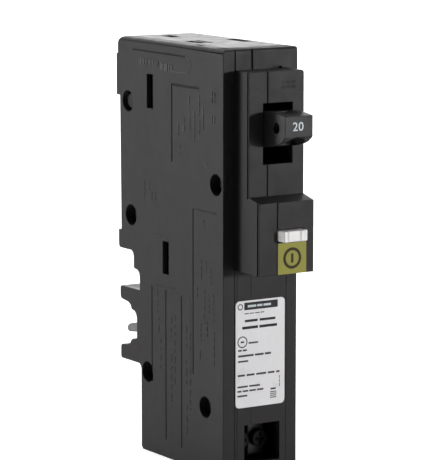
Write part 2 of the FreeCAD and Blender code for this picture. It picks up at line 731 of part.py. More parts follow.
def solenoid():
    """Coil on a bobbin in a C-shaped frame, with its plunger and spring, along Z."""
    mid_x = cell("solenoid_x", 3.4)
    mid_y = cell("solenoid_y", 8.0)
    middle = (mid_x, mid_y)
    wide = about(mid_x, 5.0)
    deep = (mid_y - 5.6, mid_y + 6.8)
    frame = fuse([box(wide, deep, (35.8, 37.0)), box(wide, deep, (53.0, 54.2)),
                  box(wide, (mid_y + 5.6, mid_y + 6.8), (36.0, 54.0))])
    node(cut(frame, rod("Z", middle, 52.0, 55.0, 2.0)), "solenoid_frame")
    bobbin = fuse([rod("Z", middle, 37.0, 53.0, 2.6), rod("Z", middle, 37.0, 38.0, 5.4),
                   rod("Z", middle, 52.0, 53.0, 5.4)])
    node(cut(bobbin, rod("Z", middle, 36.5, 53.5, 1.9)), "solenoid_bobbin")
    node(cut(rod("Z", middle, 38.1, 51.9, 5.0), rod("Z", middle, 38.0, 52.0, 2.65)),
         "solenoid_coil")
    node(fuse([rod("Z", middle, 40.0, 60.6, 1.8), rod("Z", middle, 60.2, 61.2, 3.3)]),
         "solenoid_plunger")
    spring("plunger_spring", "Z", middle, low=54.22, high=60.18, radius=2.5, turns=5.0,
           wire_r=0.3)


def pivot_springs():
    wire_r = coil_wire.value
    spring("handle_spring", "X", (hub_y, hub_z), low=5.5, high=7.9, radius=2.4, turns=2.5,
           wire_r=wire_r)
    spring("cradle_spring", "X", (cradle_y, cradle_z), low=1.4, high=4.4, radius=2.3,
           turns=3.0, wire_r=wire_r)
    # around the contact arm's hub, turned with the arm
    contact = spring("contact_spring", "X", (arm_y, arm_z), low=2.1, high=4.2, radius=3.1,
                     turns=2.0, wire_r=wire_r)
    contact.Placement = arm_turn.multiply(contact.Placement)


# ----------------------------------- load and neutral side ----------------------------------

def straps():
    load_left, load_right = 2.4, 4.8
    load = PrismBody("load_strap")
    load.pad("XZ", -4.0, -2.8, rect(load_left, 5.0, load_right, 35.2))
    load.pad("XZ", -12.6, -3.5, rect(load_left, 34.0, load_right, 35.2))

    neutral = PrismBody("neutral_strap")
    neutral.pad("XZ", -4.0, -3.0, rect(-3.6, 10.0, 0.4, 13.4))
    neutral.pad("YZ", -0.6, 0.4, [(-4.0, 10.0), (-1.4, 10.0), (-1.4, 31.5), (17.2, 31.5),
                                  (17.2, 34.1), (-4.0, 34.1)])


def terminals():
    """Two box lugs with cross-slotted screws from the front, and the barrier between them."""
    lug_low = cell("lug_low", 3.6)
    lug_top = cell("lug_top", 13.6)
    lug_half = cell("lug_half", 2.7)
    wire_bore = cell("wire_bore", 2.0)
    screw_z = cell("screw_z", 8.8)
    screw_r = cell("screw_r", 1.9)
    screw_head = cell("screw_head", 2.55)
    head_front, slot_floor = -17.1, -16.1
    for name, x in (("load", wire_x_load), ("neutral", wire_x_neut)):
        block = box(about(x, lug_half), (-14.5, -4.0), (lug_low, lug_top))
        node(cut(block, rod("Z", (x, wire_y), lug_low - 1.0, lug_top + 1.0, wire_bore),
                 rod("Y", (x, screw_z), -15.0, wire_y, screw_r + pin_play)), name + "_lug")
        screw = PrismBody(name + "_screw")
        screw.pad("XZ", -14.8, -9.9, circle(x, screw_z, screw_r))
        screw.pad("XZ", head_front, -14.7, circle(x, screw_z, screw_head))
        for half_x, half_z in ((0.45, 2.0), (1.6, 0.4)):
            screw.pocket("XZ", head_front, slot_floor,
                         rect(x - half_x, screw_z - half_z, x + half_x, screw_z + half_z))
    node(box((0.5, 1.1), (-15.4, -4.3), (2.1, 15.3)), "terminal_barrier")


def neutral_clip():
    """Upright plate with a hollow tongue that reaches out through the back."""
    clip = PrismBody("neutral_clip")
    clip.pad("XZ", 17.2, 18.2, rect(-10.5, 31.2, 0.4, 38.0))
    clip.pad("YZ", -10.9, -5.7, [
        (17.8, 37.9), (28.3, 37.8), (31.4, 37.2), (32.7, 36.8), (33.7, 36.2), (34.15, 35.5),
        (34.0, 34.9), (33.4, 34.5), (32.6, 34.4), (28.3, 34.95), (17.8, 35.3)])
    clip.pocket("YZ", -10.2, -5.7, [
        (19.2, 37.0), (28.3, 36.85), (31.6, 36.0), (31.6, 35.7), (28.3, 35.85), (19.2, 36.2)])


def current_sensor():
    """Ring core about Z with twelve rectangular wraps around its section."""
    mid_x = cell("sensor_x", 2.0)
    mid_y = cell("sensor_y", -3.4)
    middle = (mid_x, mid_y)
    node(cut(rod("Z", middle, 23.2, 29.8, 5.6), rod("Z", middle, 23.0, 30.0, 4.3)),
         "sensor_core")

    wrap_in, wrap_low = 3.75, 22.6
    wrap_long = cell("wrap_radial", 2.35)
    wrap_tall = 7.8
    wrap_t = 0.45

    def turned_block(turn, length, width, height, inner, low):
        block = doc.addObject("Part::Box", "wrap")
        bind(block, "Length", length)
        bind(block, "Width", width)
        bind(block, "Height", height)
        block.Placement = turn.multiply(
            Placement(Vector(inner, -width / 2, low), Rotation()))
        return block

    wraps = []
    for i in range(12):
        turn = Placement(Vector(mid_x.value, mid_y.value, 0),
                         Rotation(Vector(0, 0, 1), 30.0 * i + 15.0))
        outer = turned_block(turn, wrap_long, 1.3, wrap_tall, wrap_in, wrap_low)
        hollow = turned_block(turn, wrap_long - 2 * wrap_t, 3.0, wrap_tall - 2 * wrap_t,
                              wrap_in + wrap_t, wrap_low + wrap_t)
        wraps.append(cut(outer, hollow))
    node(group(wraps), "sensor_winding")


def flexible_wires():
    braid_r = cell("braid_r", 0.95)
    lead_r = cell("lead_r", 0.45)
    x = trip_x.value
    wires("flexible_braid", [[(x, -10.35, 59.0), (x, -10.3, 63.0), (x, -9.0, 68.0),
                              (x, -5.6, 72.5), (x, -3.6, 77.0)]], braid_r.value)
    wires("sensor_leads", [
        [(-1.6, -7.4, 31.2), (-3.0, -10.4, 31.8), (-4.6, -12.6, 32.0), (-5.62, -12.7, 32.0)],
        [(-0.2, -7.9, 31.2), (-3.0, -9.2, 31.8), (-4.6, -11.2, 32.0), (-5.62, -11.3, 32.0)],
    ], lead_r.value)


# --------------------------------------- circuit board --------------------------------------

def circuit_board():
    """Board on the left of the partition; its components stand on its left face."""
    face = cell("board_left", -7.0)
    back = cell("board_right", -5.8)
    through = (face - 1, back + 1)
    board = box((face, back), (-20.8, 16.5), (30.0, 79.5))
    node(cut(board, box(through, (9.0, 17.0), (73.0, 80.0)),
             rod("X", (12.0, 70.0), *through, 1.2),
             rod("X", (-17.5, 33.0), *through, 1.2)), "circuit_board")

    # chip with six leads, each reaching past both ends
    chip_y, lead_pitch = -6.0, 1.28
    chip = [box((face - 1.5, face), (chip_y, 2.0), (52.0, 60.0))]
    for i in range(6):
        lead_y = chip_y + 0.6 + lead_pitch * i
        chip.append(box((face - 0.7, face), (lead_y, lead_y + 0.4), (50.9, 61.1)))
    node(fuse(chip), "board_chip")

    disc = (-12.5, 39.0)
    node(cut(rod("X", disc, face - 3.6, face, 4.4),
             rod("X", disc, face - 3.7, face - 3.3, 3.4)), "board_varistor")

    cans = []
    for y, low in ((-13.5, 64.0), (-4.5, 69.0)):
        middle = (face - 1.75, y)
        cans.append(cut(rod("Z", middle, low, low + 8.0, 1.7),
                        rod("Z", middle, low + 7.6, low + 8.5, 1.2)))
    node(group(cans), "board_capacitors")

    # small blocks with an end cap at each side: low corners (Y, Z)
    length, cap = 3.2, 0.5
    resistors = []
    for y, z in ((3.0, 36.0), (3.0, 40.0), (3.0, 44.0), (8.5, 36.0), (8.5, 40.0),
                 (-14.0, 52.0)):
        cap_x, cap_z = (face - 1.0, face), (z - 0.05, z + 1.65)
        resistors.append(fuse([box((face - 0.9, face), (y, y + length), (z, z + 1.6)),
                               box(cap_x, (y, y + cap), cap_z),
                               box(cap_x, (y + length - cap, y + length), cap_z)]))
    node(group(resistors), "board_resistors")


# ---------------------------------------- test button ---------------------------------------

def test_button():
    """Button with a retaining flange and a plunger behind it, and the contact it presses."""
    left = cell("button_left", -1.97)
    right = cell("button_right", 6.5)
    low = cell("button_low", 70.3)
    top = cell("button_top", 73.4)
    face = cell("button_face", -38.6)
    button = PrismBody("test_button")
    button.pad("XY", low, top, [
        (left, -33.5), (left, face + 0.25), (left + 0.3, face), (left + 1.3, face),
        (left + 1.7, face + 0.3), (right - 2.9, face + 0.3), (right - 2.5, face),
        (right - 0.9, face + 0.1), (right - 0.3, face + 0.5), (right, face + 1.2),
        (right, -33.5)])
    button.pad("XY", low - 1.0, top + 1.0, rect(left - 0.3, -33.6, right + 0.9, -32.4))
    button.pad("XY", low + 0.7, top - 0.7, rect(0.8, -32.6, 3.4, -26.4))

    contact = PrismBody("test_contact_spring")
    contact.pad("XY", 70.9, 74.4, [(-4.0, -24.7), (3.6, -24.7), (3.6, -24.3),
                                   (-3.6, -24.3), (-3.6, -20.2), (-4.0, -20.2)])
    contact.pad("XY", 72.4, 74.4, rect(-5.8, -20.6, -3.6, -20.2))


# ------------------------------------- build and export -------------------------------------

for build in (left_cover, center_case, right_base, case_rivets, labels, handle, contacts,
              line_strap, line_jaw, arc_chute, trip_cradle, armature, magnet_and_bimetal,
              pins, straps, terminals, neutral_clip, current_sensor, flexible_wires,
              pivot_springs, solenoid, circuit_board, test_button):
    build()

doc.recompute()
for obj in doc.Objects:
    if "Invalid" in obj.State or "Error" in obj.State:
        raise RuntimeError(f"object failed: {obj.Label} {obj.State}")
for label, obj in nodes:
    shape = obj.Shape
    if shape.isNull() or not shape.isValid() or not shape.Solids:
        raise RuntimeError("bad shape: " + label)
for label, obj in nodes:
    obj.Shape.exportStep(f"parts/{label}.step")
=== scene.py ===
"""A 20 ampere circuit breaker with a test button, standing on a pale studio floor.

The labels and the handle face front (-Y), the left cover faces -X and +Z is up.
Sizes are in millimetres and multiplied by MM; lamp and camera places are in metres.
"""

import bpy
import bmesh
import json
import math
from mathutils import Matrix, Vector

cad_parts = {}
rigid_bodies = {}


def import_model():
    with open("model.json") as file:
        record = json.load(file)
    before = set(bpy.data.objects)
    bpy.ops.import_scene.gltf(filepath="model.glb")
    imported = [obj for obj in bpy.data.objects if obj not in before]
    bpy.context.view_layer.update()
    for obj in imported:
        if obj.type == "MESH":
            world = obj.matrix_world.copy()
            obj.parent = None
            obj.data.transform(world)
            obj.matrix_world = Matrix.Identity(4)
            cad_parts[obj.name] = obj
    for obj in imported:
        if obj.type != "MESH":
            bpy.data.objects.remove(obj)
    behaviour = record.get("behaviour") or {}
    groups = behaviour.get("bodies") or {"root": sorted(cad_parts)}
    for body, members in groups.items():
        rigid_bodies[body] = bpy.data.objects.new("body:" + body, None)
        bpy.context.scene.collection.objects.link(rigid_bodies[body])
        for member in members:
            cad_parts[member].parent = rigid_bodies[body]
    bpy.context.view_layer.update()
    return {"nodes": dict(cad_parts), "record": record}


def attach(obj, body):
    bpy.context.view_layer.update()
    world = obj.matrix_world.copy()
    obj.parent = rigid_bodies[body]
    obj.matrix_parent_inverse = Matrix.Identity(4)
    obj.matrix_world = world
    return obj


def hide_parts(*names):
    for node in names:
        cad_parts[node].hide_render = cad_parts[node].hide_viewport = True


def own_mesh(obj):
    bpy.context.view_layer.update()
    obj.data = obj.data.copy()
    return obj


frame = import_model()
NODES = frame["nodes"]
MM = 0.001


# ---------------------------------------------------------------- shader nodes
class Graph:
    """An emptied node tree with short calls for the nodes used most."""

    def __init__(self, tree):
        self.tree = tree
        tree.nodes.clear()

    def link(self, source, socket):
        self.tree.links.new(source, socket)

    def add(self, kind, inputs=None, **settings):
        """Add a node. Each entry of inputs is a plain value or the output that feeds it."""
        node = self.tree.nodes.new("ShaderNode" + kind)
        for key, value in settings.items():
            setattr(node, key, value)
        for key, value in (inputs or {}).items():
            if isinstance(value, bpy.types.NodeSocket):
                self.link(value, node.inputs[key])
            else:
                node.inputs[key].default_value = value
        return node

    def noise(self, scale, detail, place, distortion=0.0):
        return self.add("TexNoise", {"Scale": scale, "Detail": detail, "Distortion": distortion,
                                     "Vector": place}).outputs[0]

    def ramp(self, value, span, to=(0.0, 1.0)):
        """Map the span linearly onto another, clamped at both ends."""
        return self.add("MapRange", {"From Min": span[0], "From Max": span[1],
                                     "To Min": to[0], "To Max": to[1],
                                     "Value": value}).outputs[0]

    def math(self, operation, first, second):
        return self.add("Math", {0: first, 1: second}, operation=operation).outputs[0]

    def mix(self, factor, under, over):
        return self.add("Mix", {0: factor, 6: under, 7: (*over, 1.0)}, data_type="RGBA").outputs[2]

    def bump(self, height, distance):
        return self.add("Bump", {"Strength": 1.0, "Distance": distance, "Height": height})


# ------------------------------------------------------------------- materials
def drifting_color(graph, color, vary, vary_scale, place, grain_place):
    """Brighten and darken the colour on a wide and a fine scale."""
    wide = graph.noise(scale=vary_scale * 0.28, detail=3.0, place=place)
    fine = graph.noise(scale=vary_scale * 3.1, detail=4.0, place=grain_place)
    wide_gain = graph.ramp(wide, (0.3, 0.7), to=(1.0 - vary, 1.0 + vary))
    fine_gain = graph.ramp(fine, (0.3, 0.7), to=(1.0 - vary * 0.6, 1.0 + vary * 0.6))
    gain = graph.math("MULTIPLY", wide_gain, fine_gain)
    return graph.add("VectorMath", {0: color, "Scale": gain}, operation="SCALE").outputs[0]


def rubbed_and_highlit_edges(graph, color, rub_and_highlight, rubbed_and_highlight_color, edge_r, vary_scale, place):
    """Rub the worn colour in patches along edges, where the bevelled normal leaves the true one."""
    bevel = graph.add("Bevel", {"Radius": edge_r * MM}, samples=4)
    geometry = graph.add("NewGeometry")
    facing = graph.add("VectorMath", {0: bevel.outputs[0], 1: geometry.outputs["Normal"]},
                       operation="DOT_PRODUCT").outputs["Value"]
    edge = graph.ramp(facing, (0.985, 0.80))
    spots = graph.noise(scale=vary_scale * 1.3, detail=5.0, place=place, distortion=0.6)
    patch = graph.ramp(spots, (0.42, 0.60), to=(0.25, 1.0))
    # Rub the edge colour in patches along edges, where the bevelled normal leaves the true one. It
    # is rubbing, and on the case plastic it is also a painted highlight along the rounded edges.
    amount = graph.math("MULTIPLY", graph.math("MULTIPLY", edge, patch), rub_and_highlight)
    return graph.mix(amount, color, rubbed_and_highlight_color)


def dusted(graph, color, dust, vary_scale, place):
    """Lay patchy grey dust on faces that look up."""
    geometry = graph.add("NewGeometry")
    normal = graph.add("SeparateXYZ", {0: geometry.outputs["Normal"]})
    upward = graph.ramp(normal.outputs[2], (0.6, 1.0), to=(0.0, dust))
    spots = graph.noise(scale=vary_scale * 2.0, detail=6.0, place=place)
    patch = graph.ramp(spots, (0.35, 0.7), to=(0.2, 1.0))
    return graph.mix(graph.math("MULTIPLY", upward, patch), color, (0.36, 0.35, 0.34))


# Crown of the upward faces: axis, where the fall starts, where it ends, depth (mm).
CROWN = ((0, -7.2, -11.1, 0.50),    # towards the left edge
         (1, -16.4, -22.2, 1.05))   # towards the front edge


def crowned(graph, place, normal):
    """Tilt the normal of upward faces as if they fell away to the front and left."""
    position = graph.add("SeparateXYZ", {0: place})
    geometry = graph.add("NewGeometry")
    facing = graph.add("SeparateXYZ", {0: geometry.outputs["True Normal"]})
    upward = graph.ramp(facing.outputs[2], (0.97, 0.99))
    falls = []
    for axis, start, end, depth in CROWN:
        run = graph.ramp(position.outputs[axis], (start * MM, end * MM))
        falls.append(graph.math("MULTIPLY", graph.math("POWER", run, 2.0), -depth))
    fall = graph.math("ADD", *falls)
    bump = graph.bump(graph.math("MULTIPLY", fall, upward), MM)
    graph.link(normal, bump.inputs["Normal"])
    return bump.outputs[0]


def relief(graph, grain, grain_scale, wave, vary_scale, round_mm, crown, place, grain_place):
    """Fine grain, then slow waviness, over normals rounded at the edges if asked."""
    grain_height = graph.noise(scale=grain_scale, detail=3.0, place=grain_place)
    wave_height = graph.noise(scale=vary_scale * 0.5, detail=2.0, place=place)
    grain_bump = graph.bump(grain_height, grain * MM)
    if round_mm > 0.0:
        normal = graph.add("Bevel", {"Radius": round_mm * MM}, samples=6).outputs[0]
        if crown:
            normal = crowned(graph, place, normal)
        graph.link(normal, grain_bump.inputs["Normal"])
    wave_bump = graph.bump(wave_height, wave * MM)
    graph.link(grain_bump.outputs[0], wave_bump.inputs["Normal"])
    return wave_bump.outputs[0]


def material(name, color, rough, vary, grain, rough_vary=0.10, metal=0.0, spec=0.5, coat=0.0,
             vary_scale=260.0, grain_scale=2600.0, brushed=None, wave=0.0,
             rub_and_highlight=0.0, rubbed_and_highlight_color=None, edge_r=0.25, dust=0.0, round_mm=0.0, crown=False, scatter=None):
    """Principled surface with colour drift, uneven gloss, fine relief and rubbed edges, which on the
    case plastic also carry a painted highlight.

    vary, rough_vary: swing of colour and roughness; vary_scale: noise scale of both
    grain, wave: relief depths in mm; brushed: stretch of the grain on each axis
    rub_and_highlight, rubbed_and_highlight_color, edge_r: strength, colour and width (mm) of the
    edge rubbing, which on the case plastic is also a painted highlight
    round_mm: radius of the shaded rounding of edges; scatter: subsurface inputs
    """
    made = bpy.data.materials.new(name)
    made.use_nodes = True
    graph = Graph(made.node_tree)
    place = grain_place = graph.add("TexCoord").outputs["Object"]
    if brushed is not None:
        grain_place = graph.add("Mapping", {"Scale": brushed, 0: place}).outputs[0]

    base = drifting_color(graph, color, vary, vary_scale, place, grain_place)
    if rub_and_highlight > 0.0:
        base = rubbed_and_highlit_edges(graph, base, rub_and_highlight, rubbed_and_highlight_color, edge_r, vary_scale, place)
    if dust > 0.0:
        base = dusted(graph, base, dust, vary_scale, place)
    gloss = graph.noise(scale=vary_scale * 0.9, detail=4.0, place=grain_place)
    roughness = graph.ramp(gloss, (0.3, 0.7), to=(max(0.03, rough - rough_vary),
                                                  min(1.0, rough + rough_vary)))
    normal = relief(graph, grain, grain_scale, wave, vary_scale, round_mm, crown,
                    place, grain_place)
    surface = graph.add("BsdfPrincipled", {
        "Metallic": metal, "Specular IOR Level": spec, "Coat Weight": coat,
        "Coat Roughness": 0.25, "Base Color": base, "Roughness": roughness,
        "Normal": normal, **(scatter or {})})
    graph.add("OutputMaterial", {0: surface.outputs[0]})
    return made


LOOKS = {
    "case_plastic": dict(
        color=(0.0196, 0.0178, 0.0184), rough=0.45, vary=0.07, grain=0.005, grain_scale=2400,
        # The lighter edge colour of the case is partly rubbing and partly a painted highlight along
        # its rounded edges.
        wave=0.008, rub_and_highlight=0.50, rubbed_and_highlight_color=(0.062, 0.060, 0.061), dust=0.02, rough_vary=0.05,
        spec=0.135, round_mm=0.38, crown=True),
    "handle_plastic": dict(
        color=(0.0212, 0.0217, 0.0225), rough=0.42, vary=0.08, grain=0.003, wave=0.006,
        spec=0.17, rub_and_highlight=0.45, rubbed_and_highlight_color=(0.075, 0.075, 0.077), rough_vary=0.06),
    "button_plastic": dict(
        color=(0.688, 0.676, 0.672), rough=0.36, vary=0.03, grain=0.003, wave=0.01,
        rub_and_highlight=0.25, rubbed_and_highlight_color=(0.62, 0.60, 0.57), coat=0.15,
        scatter={"Subsurface Weight": 0.7, "Subsurface Radius": (1.0, 0.96, 0.92),
                 "Subsurface Scale": 0.0022}),
    "label_white": dict(
        color=(0.693, 0.684, 0.698), rough=0.34, vary=0.025, grain=0.0015, wave=0.012,
        rub_and_highlight=0.2, rubbed_and_highlight_color=(0.55, 0.54, 0.50)),
    # Darker than the case plastic the marks are moulded in: painted shade for the shadows their
    # raised edges throw.
    "mark_plastic_painted_shade": dict(
        color=(0.0140, 0.0129, 0.0133), rough=0.5, vary=0.16, grain=0.005,
        rub_and_highlight=0.5, rubbed_and_highlight_color=(0.042, 0.040, 0.041), spec=0.14, edge_r=0.12),
    "label_green": dict(
        color=(0.261, 0.248, 0.040), rough=0.42, vary=0.05, grain=0.0015, wave=0.012,
        spec=0.16, rub_and_highlight=0.3, rubbed_and_highlight_color=(0.42, 0.40, 0.20)),
    "steel": dict(
        color=(0.56, 0.57, 0.58), rough=0.34, metal=1.0, vary=0.08, grain=0.002,
        grain_scale=900, brushed=(1.0, 1.0, 14.0), rub_and_highlight=0.3, rubbed_and_highlight_color=(0.78, 0.78, 0.77)),
    # Near black on the terminal screws and rivet heads: painted shade for the dark terminal chamber
    # and rivet wells.
    "dark_steel": dict(
        color=(0.035, 0.034, 0.036), rough=0.50, metal=1.0, vary=0.12, grain=0.003,
        rub_and_highlight=0.4, rubbed_and_highlight_color=(0.12, 0.12, 0.12)),
    "copper": dict(
        color=(0.62, 0.33, 0.20), rough=0.33, metal=1.0, vary=0.16, grain=0.002,
        rub_and_highlight=0.4, rubbed_and_highlight_color=(0.86, 0.52, 0.36)),
    "plated_copper": dict(
        color=(0.15, 0.15, 0.147), rough=0.42, metal=1.0, vary=0.30, vary_scale=900,
        grain=0.02, grain_scale=900, rub_and_highlight=0.6, rubbed_and_highlight_color=(0.07, 0.066, 0.062), edge_r=0.5,
        round_mm=0.55),
    "contact_silver": dict(
        color=(0.80, 0.79, 0.76), rough=0.28, metal=1.0, vary=0.10, grain=0.004,
        rub_and_highlight=0.3, rubbed_and_highlight_color=(0.35, 0.33, 0.31)),
    # Darker than bright tin-plated lugs: painted shade for the dark terminal chamber.
    "lug_metal": dict(
        color=(0.24, 0.245, 0.25), rough=0.42, metal=1.0, vary=0.07, grain=0.003,
        grain_scale=1400, rub_and_highlight=0.4, rubbed_and_highlight_color=(0.82, 0.82, 0.80)),
    # Near black instead of the fibre's own tan: painted shade, set for the shadowed terminal
    # chamber.
    "fibre": dict(
        color=(0.07, 0.055, 0.048), rough=0.75, vary=0.16, grain=0.02, brushed=(1, 4, 1),
        rub_and_highlight=0.3, rubbed_and_highlight_color=(0.14, 0.12, 0.10)),
    "board_green": dict(
        color=(0.020, 0.120, 0.045), rough=0.28, vary=0.10, grain=0.004, coat=0.4,
        rub_and_highlight=0.6, rubbed_and_highlight_color=(0.42, 0.38, 0.22)),
    "chip_black": dict(
        color=(0.018, 0.018, 0.019), rough=0.42, vary=0.10, grain=0.005,
        rub_and_highlight=0.3, rubbed_and_highlight_color=(0.07, 0.07, 0.07)),
    "ceramic_blue": dict(
        color=(0.045, 0.10, 0.30), rough=0.25, vary=0.08, grain=0.006, wave=0.05, coat=0.5,
        rub_and_highlight=0.2, rubbed_and_highlight_color=(0.12, 0.2, 0.42)),
    "ceramic_tan": dict(
        color=(0.45, 0.38, 0.27), rough=0.45, vary=0.08, grain=0.004,
        rub_and_highlight=0.7, rubbed_and_highlight_color=(0.62, 0.60, 0.57)),
    "can_metal": dict(
        color=(0.10, 0.11, 0.16), rough=0.30, vary=0.06, grain=0.002, coat=0.3,
        rub_and_highlight=0.6, rubbed_and_highlight_color=(0.66, 0.66, 0.68)),
    "ferrite": dict(
        color=(0.065, 0.065, 0.072), rough=0.55, vary=0.14, grain=0.01,
        rub_and_highlight=0.4, rubbed_and_highlight_color=(0.16, 0.16, 0.17)),
    "enamel_wire": dict(
        color=(0.55, 0.20, 0.08), rough=0.24, metal=0.85, vary=0.12, grain=0.02,
        grain_scale=1500, brushed=(1, 1, 0.15), coat=0.4),
    "coil_tape": dict(
        color=(0.62, 0.44, 0.07), rough=0.30, vary=0.07, grain=0.012, grain_scale=500,
        brushed=(0.1, 0.1, 3.0), coat=0.3, rub_and_highlight=0.3, rubbed_and_highlight_color=(0.72, 0.60, 0.26)),
    "bobbin_nylon": dict(
        color=(0.66, 0.63, 0.54), rough=0.42, vary=0.05, grain=0.004,
        rub_and_highlight=0.2, rubbed_and_highlight_color=(0.8, 0.78, 0.7)),
    "print_ink": dict(color=(0.022, 0.021, 0.024), rough=0.45, vary=0.16, grain=0.001, spec=0.12),
    "print_grey": dict(color=(0.055, 0.053, 0.056), rough=0.45, vary=0.18, grain=0.001, spec=0.12),
    "print_olive": dict(color=(0.030, 0.020, 0.005), rough=0.45, vary=0.14, grain=0.001, spec=0.12),
    "print_white": dict(color=(0.50, 0.54, 0.56), rough=0.45, vary=0.10, grain=0.002),
    "solder": dict(color=(0.66, 0.66, 0.65), rough=0.26, metal=1.0, vary=0.08, grain=0.004,
                   wave=0.02),
}
MATERIALS = {name: material(name, **look) for name, look in LOOKS.items()}

SLOTS = {part["node"]: part["material_slot"] for part in frame["record"]["subparts"]}
for label, piece in NODES.items():
    piece.data.materials.clear()
    piece.data.materials.append(MATERIALS[SLOTS[label]])


# ----------------------------------------------------------- rounded CAD edges
def weld_smooth(label):
    """Shade the piece smooth and join its coincident vertices."""
    piece = NODES[label]
    for face in piece.data.polygons:
        face.use_smooth = True
    weld = piece.modifiers.new("weld", "WELD")
    weld.merge_threshold = 2e-6
    return piece


def soften(label, width):
    """Merge the flat facets of a piece and round its edges by width (mm)."""
    piece = weld_smooth(label)
    flat = piece.modifiers.new("flat", "DECIMATE")
    flat.decimate_type = "DISSOLVE"
    flat.angle_limit = math.radians(0.6)
    bevel = piece.modifiers.new("round", "BEVEL")
    bevel.width = width * MM
    bevel.segments = 2
    bevel.limit_method = "ANGLE"
    bevel.angle_limit = math.radians(34.0)
    bevel.use_clamp_overlap = label in CLAMPED
    bevel.harden_normals = False
    bevel.miter_outer = "MITER_SHARP"
    normals = piece.modifiers.new("normals", "WEIGHTED_NORMAL")
    normals.keep_sharp = False
    normals.weight = 90


EDGE_WIDTHS = {
    "left_cover": 0.2, "center_case": 0.15, "right_base": 0.13, "handle": 0.2,
    "test_button": 0.3, "rating_label": 0.02, "test_label": 0.02, "case_rivets": 0.15,
    "load_lug": 0.2, "neutral_lug": 0.2, "load_screw": 0.12, "neutral_screw": 0.12,
    "terminal_barrier": 0.1, "line_jaw": 0.1, "neutral_clip": 0.4, "jaw_spring": 0.08,
    "line_strap": 0.12, "load_strap": 0.12, "neutral_strap": 0.12, "contact_arm": 0.15,
    "moving_contact": 0.12, "fixed_contact": 0.12, "trip_cradle": 0.12, "armature": 0.12,
    "magnet_yoke": 0.12, "bimetal": 0.08, "handle_pin": 0.15, "arm_pin": 0.15,
    "cradle_pin": 0.15, "armature_pin": 0.12, "arc_plates": 0.08, "arc_side_walls": 0.06,
    "sensor_core": 0.3, "solenoid_frame": 0.15, "solenoid_bobbin": 0.15, "solenoid_coil": 0.3,
    "solenoid_plunger": 0.15, "circuit_board": 0.05, "board_chip": 0.08,
    "board_varistor": 0.45, "board_capacitors": 0.2, "board_resistors": 0.06,
    "test_contact_spring": 0.05, "sensor_winding": 0.12}
CLAMPED = ("center_case", "right_base", "neutral_clip")  # bevels kept from overlapping
WIRES = ("flexible_braid", "sensor_leads", "handle_spring", "cradle_spring", "contact_spring",
         "plunger_spring")
for label, width in EDGE_WIDTHS.items():
    soften(label, width)
for label in WIRES:
    weld_smooth(label)


# Return spring: a copy of the same coils on the case, with the original piece hidden.
coils = bpy.data.objects.new("plunger_spring_coils", NODES["plunger_spring"].data.copy())
bpy.context.scene.collection.objects.link(coils)
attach(coils, "case")
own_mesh(coils)
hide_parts("plunger_spring")


# -------------------------------------------------------------- mesh builders
def add_part(name, draw, look, bevel=0.0):
    """Make a case part from draw(bm), with an optional edge bevel in mm."""
    bm = bmesh.new()
    draw(bm)
    bm.normal_update()
    mesh = bpy.data.meshes.new(name)
    bm.to_mesh(mesh)
    bm.free()
    mesh.materials.append(MATERIALS[look])
    part = bpy.data.objects.new(name, mesh)
    bpy.context.scene.collection.objects.link(part)
    if bevel:
        edge = part.modifiers.new("round", "BEVEL")
        edge.width = bevel * MM
        edge.segments = 2
        edge.limit_method = "ANGLE"
    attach(part, "case")


def add_box(bm, x0, x1, y0, y1, z0, z1):
    corners = [bm.verts.new((x * MM, y * MM, z * MM))
               for x in (x0, x1) for y in (y0, y1) for z in (z0, z1)]
    for face in ((0, 1, 3, 2), (4, 6, 7, 5), (0, 4, 5, 1), (2, 3, 7, 6), (0, 2, 6, 4), (1, 5, 7, 3)):
        bm.faces.new([corners[i] for i in face])


def add_ring(bm, center_x, center_z, inner, outer, y0, y1, count=40):
    """Flat ring in the XZ plane between y0 and y1."""
    loops = []
    for radius, y in ((outer, y1), (outer, y0), (inner, y0), (inner, y1)):
        turns = [2 * math.pi * i / count for i in range(count)]
        loops.append([bm.verts.new(((center_x + radius * math.cos(turn)) * MM, y * MM,
                                    (center_z + radius * math.sin(turn)) * MM))
                      for turn in turns])
    for k in range(4):
        near, far = loops[k], loops[(k + 1) % 4]
        for i in range(count):
            j = (i + 1) % count
            bm.faces.new((near[i], near[j], far[j], far[i]))


def bars(length, seed, small, big, gap):
    """(start, end) of word-long bars, small to big, that fill length; the seed sets the rhythm."""
    spans, at, state = [], 0.0, seed
    while at < length - 0.3:
        state = (state * 73 + 41) % 101
        width = small + (big - small) * state / 100.0
        if length - at - width < small * 0.6:
            width = length - at
        spans.append((at, at + width))
        at += width + gap
    return spans


# --------------------------------------------------------------- printed labels
CASE_LEFT = -12.7          # x of the case's left side
LABEL_TOP = 124.6          # z that heights on the rating label are counted from
RATING_FACE = -23.15       # y of the rating label's front
TEST_FACE = -35.72         # y of the test label's front
PRINT_RISE = 0.02          # how far the print stands off its label
PRINT_SINK = 0.01          # how far it reaches in


def print_depth(face):
    return face - PRINT_RISE, face + PRINT_SINK


def label_box(bm, x0, x1, z0, z1):
    add_box(bm, CASE_LEFT + x0, CASE_LEFT + x1, *print_depth(RATING_FACE),
            LABEL_TOP + z0, LABEL_TOP + z1)


def label_ring(bm, x, z, inner, outer):
    add_ring(bm, CASE_LEFT + x, LABEL_TOP + z, inner, outer, *print_depth(RATING_FACE))


def label_rows(bm, rows):
    for x, z, length, height, seed, small, big, gap in rows:
        for start, end in bars(length, seed, small, big, gap):
            label_box(bm, x + start, x + end, z - height / 2, z + height / 2)


